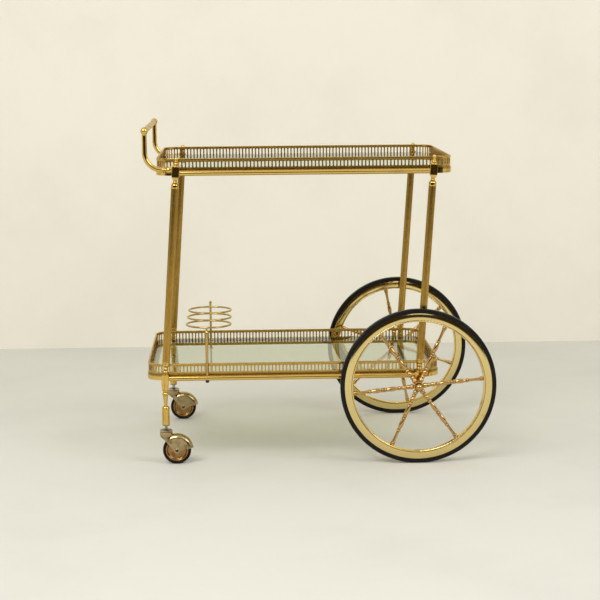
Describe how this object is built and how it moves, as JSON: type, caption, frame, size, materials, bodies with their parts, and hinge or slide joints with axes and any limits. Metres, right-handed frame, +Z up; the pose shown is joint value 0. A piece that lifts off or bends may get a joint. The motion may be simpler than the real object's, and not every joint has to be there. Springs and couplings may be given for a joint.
{
  "type": "bar cart",
  "caption": "Brass bar cart with glass trays in pierced galleries, leaning reeded legs, spoked wheels, swivel casters, push handle and bottle rings.",
  "frame": {"origin": "on the floor, at the middle of the overall bounding box", "axes": "+X toward the large wheels, the cart's long direction; -Y the near side, with the bottle holder's front post; +Z up"},
  "size_m": [0.7583, 0.553, 0.7305],
  "materials": {
    "brass_polished": "polished, lightly lacquered",
    "brass_gallery": "pressed and pierced, aged polish",
    "brass_reeded": "satin, finely reeded",
    "brass_pale": "pale, brushed round the rim",
    "brass_copper_gold": "turned and polished, coppery",
    "brass_antique": "antique bronze plating",
    "brass_caster_disc": "amber lacquer over brass",
    "brass_rose": "turned, pinkish gold",
    "glass_smoked": "smoked, polished both sides",
    "rubber_black": "matt black",
    "steel_zinc": "zinc plated",
    "nut_black": "black oxide"
  },
  "bodies": {
    "cart": {"axle": "steel_zinc", "axle_foot_far": "brass_polished", "axle_foot_near": "brass_polished", "axle_nuts": "brass_polished", "bottle_holder_front_post": "brass_polished", "bottle_holder_nut": "nut_black", "bottle_holder_rear_post": "brass_polished", "bottle_ring_1": "brass_polished", "bottle_ring_2": "brass_polished", "bottle_ring_3": "brass_polished", "caster_caps": "steel_zinc", "caster_foot_far": "brass_polished", "caster_foot_near": "brass_polished", "caster_stems": "steel_zinc", "finials": "brass_polished", "handle_arm_far": "brass_polished", "handle_arm_near": "brass_polished", "handle_balls": "brass_polished", "handle_ferrules": "brass_polished", "handle_grip": "brass_rose", "leg_tube_far_caster": "brass_reeded", "leg_tube_far_wheel": "brass_reeded", "leg_tube_near_caster": "brass_reeded", "leg_tube_near_wheel": "brass_reeded", "lower_gallery_caster_end": "brass_gallery", "lower_gallery_far": "brass_gallery", "lower_gallery_near": "brass_gallery", "lower_gallery_wheel_end": "brass_gallery", "lower_glass": "glass_smoked", "lower_necks": "brass_polished", "lower_side_rails": "brass_polished", "lower_tray_frame": "brass_polished", "tie_rods": "steel_zinc", "tray_screws": "steel_zinc", "upper_blocks": "brass_polished", "upper_gallery_caster_end": "brass_gallery", "upper_gallery_far": "brass_gallery", "upper_gallery_near": "brass_gallery", "upper_gallery_wheel_end": "brass_gallery", "upper_glass": "glass_smoked", "upper_necks": "brass_polished", "upper_side_rails": "brass_polished", "upper_tray_frame": "brass_polished"},
    "wheel_near": {"wheel_hub_near": "brass_copper_gold", "wheel_spokes_near": "brass_copper_gold", "wheel_rim_near": "brass_pale", "wheel_tyre_near": "rubber_black"},
    "caster_swivel_near": {"caster_fork_near": "brass_antique", "caster_pin_near": "steel_zinc"},
    "caster_wheel_near": {"caster_disc_near": "brass_caster_disc", "caster_tyre_near": "rubber_black"},
    "wheel_far": {"wheel_hub_far": "brass_copper_gold", "wheel_spokes_far": "brass_copper_gold", "wheel_rim_far": "brass_pale", "wheel_tyre_far": "rubber_black"},
    "caster_swivel_far": {"caster_fork_far": "brass_antique", "caster_pin_far": "steel_zinc"},
    "caster_wheel_far": {"caster_disc_far": "brass_caster_disc", "caster_tyre_far": "rubber_black"}
  },
  "joints": [
    {"name": "wheel_near_roll", "type": "hinge", "parent": "cart", "child": "wheel_near", "pos_m": [0.21, -0.2527, 0.1692], "axis": [0, 1, 0], "continuous": true},
    {"name": "caster_near_swivel", "type": "hinge", "parent": "cart", "child": "caster_swivel_near", "pos_m": [-0.337, -0.225, 0.07], "axis": [0, 0, 1], "continuous": true},
    {"name": "caster_near_roll", "type": "hinge", "parent": "caster_swivel_near", "child": "caster_wheel_near", "pos_m": [-0.314, -0.225, 0.0307], "axis": [0, 1, 0], "continuous": true},
    {"name": "wheel_far_roll", "type": "hinge", "parent": "cart", "child": "wheel_far", "pos_m": [0.21, 0.2527, 0.1692], "axis": [0, 1, 0], "continuous": true},
    {"name": "caster_far_swivel", "type": "hinge", "parent": "cart", "child": "caster_swivel_far", "pos_m": [-0.337, 0.225, 0.07], "axis": [0, 0, 1], "continuous": true},
    {"name": "caster_far_roll", "type": "hinge", "parent": "caster_swivel_far", "child": "caster_wheel_far", "pos_m": [-0.314, 0.225, 0.0307], "axis": [0, 1, 0], "continuous": true}
  ]
}
